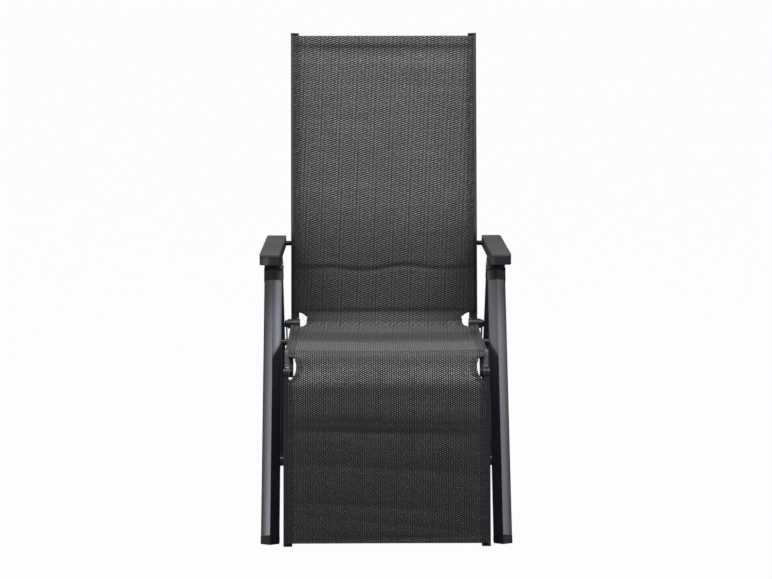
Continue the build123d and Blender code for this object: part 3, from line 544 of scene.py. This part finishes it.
def seat_relief(x, length, across):
    """Slight hollow of the seat between its rails."""
    return -0.0026 * across + 0.0004 * ripple(x, length, 12.0, 7.7) * across


def rear_painted_shade(x, side, length):
    """Painted shade: a darker band across the seat."""
    return 1 - 0.29 * soft_step(length, 0.085, 0.130) * (1 - soft_step(length, 0.185, 0.270))


def front_painted_light_and_shade(x, side, length):
    """Painted light and shade: slightly paler than the rear of the seat, with a painted shadow line under
    the front edge.
    """
    under = 0.24 * soft_step(length, 0.150, 0.166) * (1 - soft_step(length, 0.196, 0.222))
    return 1.03 - under


# Folds of the footrest's cloth: distance from its top, slant, depth, width above and below the valley, and
# strength at the left and the right side.
foot_folds = [
    (0.1415, 0.02, 0.0036, 0.020, 0.034, 1.0, 1.0),
    (0.226, 0.065, 0.0022, 0.020, 0.026, 1.0, 1.0),
    (0.316, 0.05, 0.0024, 0.014, 0.014, 1.0, 0.15),
    (0.352, 0.10, 0.0016, 0.010, 0.014, 0.4, 1.0),
    (0.119, 0.01, 0.0008, 0.004, 0.004, 1.0, 0.6),
    (0.388, -0.02, 0.0014, 0.008, 0.006, 1.0, 1.0),
]


def foot_relief(x, length, across):
    """Cross folds of the footrest cloth, each a sharp valley that runs a little askew."""
    hollow = -0.0020 * across * min(1.0, max(0.0, length) / 0.05)
    out = hollow + 0.0005 * ripple(x, length, 18.0, 1.3) * across
    for place, slant, depth, above, below, left, right in foot_folds:
        near = place + slant * x + 0.002 * noise.noise(Vector((x * 7, place * 40, 0)))
        fall = (length - near) / (above if length < near else below)
        strength = left + (right - left) * (0.5 + x / (2 * foot_side_half))
        out -= depth * exp(-abs(fall)) * (0.25 + 0.75 * across ** 0.5) * strength
    return out


def foot_painted_light_and_shade(x, side, length):
    """Painted light and shade: pale where the mesh comes off the seat, dark over the unlit side of the
    footrest.
    """
    tone = 1.06 - 0.45 * soft_step(length, 0.010, 0.046) - 0.13 * soft_step(length, 0.080, 0.125)
    return tone * (1 - 0.28 * soft_step(side, 0.94, 0.965) * (1 - soft_step(length, 0.03, 0.09)))


def weave_cloth(name, waves, ground, pale, swell):
    """Mesh cloth: pale and dark yarn ends in slanting rows, uneven picks, darker stitched hems and painted
    shade.
    """
    made = bpy.data.materials.new(name)
    made.use_nodes = True
    tree = made.node_tree
    shader = tree.nodes["Principled BSDF"]
    uv = node_of(tree, "ShaderNodeUVMap")
    uv.uv_map = "UVMap"
    split = node_of(tree, "ShaderNodeSeparateXYZ", Vector=uv.outputs[0])
    u, v = split.outputs[0], split.outputs[1]
    darkest, pick_pitch, contrast = 0.03, 0.0028, 2.2
    level = ground
    for across, along, strength in waves:
        turn = math_node(tree, "MULTIPLY", u, 2 * pi / across)
        phase = math_node(tree, "MULTIPLY_ADD", v, 2 * pi / along, turn)
        level = math_node(tree, "MULTIPLY_ADD", math_node(tree, "COSINE", phase), strength, level)
    beat = math_node(tree, "COSINE", math_node(tree, "MULTIPLY", u, 2 * pi / swell[0]))
    yarn_ends = math_node(tree, "MAXIMUM", level, darkest)
    weave = math_node(tree, "DIVIDE", yarn_ends, math_node(tree, "MULTIPLY_ADD", beat, swell[1], 1.0))
    place = tree.nodes.new("ShaderNodeTexCoord")
    slub = node_of(tree, "ShaderNodeTexNoise", Vector=place.outputs["Object"], Scale=260.0, Detail=3.0)
    cloud = node_of(tree, "ShaderNodeTexNoise", Vector=place.outputs["Object"], Scale=9.0, Detail=3.0)
    pick = node_of(tree, "ShaderNodeCombineXYZ", X=math_node(tree, "MULTIPLY", u, 5.0),
                   Y=math_node(tree, "FLOOR", math_node(tree, "DIVIDE", v, pick_pitch)))
    streak = node_of(tree, "ShaderNodeTexNoise", Vector=pick.outputs[0], Scale=0.9, Detail=2.0)
    evenness = 1.0
    for unevenness, amount in ((slub, 0.80), (cloud, 0.10), (streak, 0.42)):
        share = math_node(tree, "MULTIPLY_ADD", unevenness.outputs[0], amount, 1 - amount / 2)
        evenness = math_node(tree, "MULTIPLY", evenness, share)
    # The shade layer's painted light and shade and the hem layer's darker hems, with the painted shade at
    # their very edge, are multiplied into the tone.
    painted = {}
    for attribute, base, amount in (("shade", 0.0, 1.0), ("hem", 1.0, -0.20)):
        layer = node_of(tree, "ShaderNodeAttribute")
        layer.attribute_name = attribute
        painted[attribute] = layer.outputs["Fac"]
        share = math_node(tree, "MULTIPLY_ADD", painted[attribute], amount, base)
        evenness = math_node(tree, "MULTIPLY", evenness, share)
    stitches = math_node(tree, "MULTIPLY_ADD", streak.outputs[0], 1.3, -0.68)
    dashes = math_node(tree, "MULTIPLY", painted["hem"], stitches)
    evenness = math_node(tree, "MULTIPLY", evenness, math_node(tree, "ADD", dashes, 1.0))
    lit = math_node(tree, "MULTIPLY", math_node(tree, "POWER", evenness, contrast), weave)
    tone = math_node(tree, "MULTIPLY", lit, pale)
    colour = mixed(tree, tone, (0, 0, 0, 1), (0.985, 0.99, 1.0, 1))
    tree.links.new(colour, shader.inputs["Base Color"])
    bump = node_of(tree, "ShaderNodeBump", Height=weave, Strength=0.3, Distance=0.0005)
    tree.links.new(bump.outputs[0], shader.inputs["Normal"])
    shader.inputs["Roughness"].default_value = 0.62
    shader.inputs["Specular IOR Level"].default_value = 0.35
    shader.inputs["Sheen Weight"].default_value = 0.15
    shader.inputs["Sheen Roughness"].default_value = 0.5
    return made


# The weave repeats, as pitch across the cloth, pitch along it and strength, then the ground level
# they stand on and how pale the yarn ends are. The swell, as pitch and share, takes out the broad
# pale bands that two repeats of one length make together.
back_waves = [(0.01567, 0.00564, 2.50), (0.0240, 0.00564, 1.35), (0.00981, 0.247, 0.50),
              (0.0163, -0.00575, 0.50)]
rear_waves = back_waves + [(0.0157, 0.0365, 0.50)]
front_waves = [(0.00944, -0.00474, 3.4), (0.00531, 4.0, 1.3), (0.01225, -0.00474, 0.9)]
back_mesh = weave_cloth("back_mesh_cloth", back_waves, ground=0.5, pale=0.0729, swell=(0.04515, 0.338))
seat_mesh = weave_cloth("seat_mesh_cloth", rear_waves, ground=0.5, pale=0.0745, swell=(0.04515, 0.32))
front_mesh = weave_cloth("front_mesh_cloth", front_waves, ground=-1.0, pale=0.162, swell=(0.04115, 0.34))
looks = {
    "sling_back": (back_relief, back_painted_shade, back_mesh),
    "sling_seat_rear": (seat_relief, rear_painted_shade, seat_mesh),
    "sling_seat_front": (seat_relief, front_painted_light_and_shade, front_mesh),
    "sling_footrest": (foot_relief, foot_painted_light_and_shade, front_mesh),
}
lengths = {name: run[-1][1] for name, run in runs.items()}
slings, run_so_far = {}, 0.0
for name, (relief, shade, mesh_cloth) in looks.items():
    piece = make_cloth(name, relief, shade, run_so_far)
    piece.data.materials.append(mesh_cloth)
    thick = piece.modifiers.new("cloth_thickness", "SOLIDIFY")
    thick.thickness, thick.offset, thick.use_even_offset = cloth_thickness, 0.0, False
    slings[name] = piece
    run_so_far += lengths[name]

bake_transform(slings["sling_back"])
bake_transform(slings["sling_seat_rear"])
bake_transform(slings["sling_seat_front"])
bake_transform(slings["sling_footrest"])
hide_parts("sling_back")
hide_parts("sling_seat")
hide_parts("sling_seat")
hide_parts("sling_footrest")
